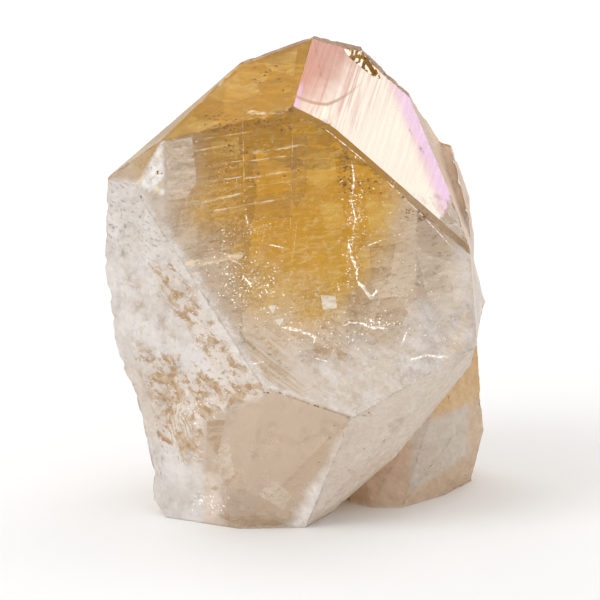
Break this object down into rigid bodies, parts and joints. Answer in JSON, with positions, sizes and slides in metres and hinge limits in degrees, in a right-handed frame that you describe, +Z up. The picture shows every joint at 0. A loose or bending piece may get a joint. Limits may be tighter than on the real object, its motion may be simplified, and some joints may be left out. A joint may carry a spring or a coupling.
{
  "type": "citrine crystal point",
  "caption": "Stubby single-ended golden quartz point, clear gold at the top and milky at the broken foot, with smaller crystals grown onto one side; stands on its flat base",
  "frame": {"origin": "centre of the bounding box in X and Y, on the flat underside of the foot in Z", "axes": "+Z up through the point, +X to the right when the tall clear face is towards the viewer, +Y away from the viewer, towards the back"},
  "size_m": [0.0492, 0.042, 0.0624],
  "materials": {
    "citrine": "see-through golden quartz with glossy natural faces, fading to milky near-white on the left side and at the foot, one pale pink mirror-bright end face, veils and small fractures inside"
  },
  "bodies": {
    "root": {"crystal": "citrine"}
  },
  "joints": []
}
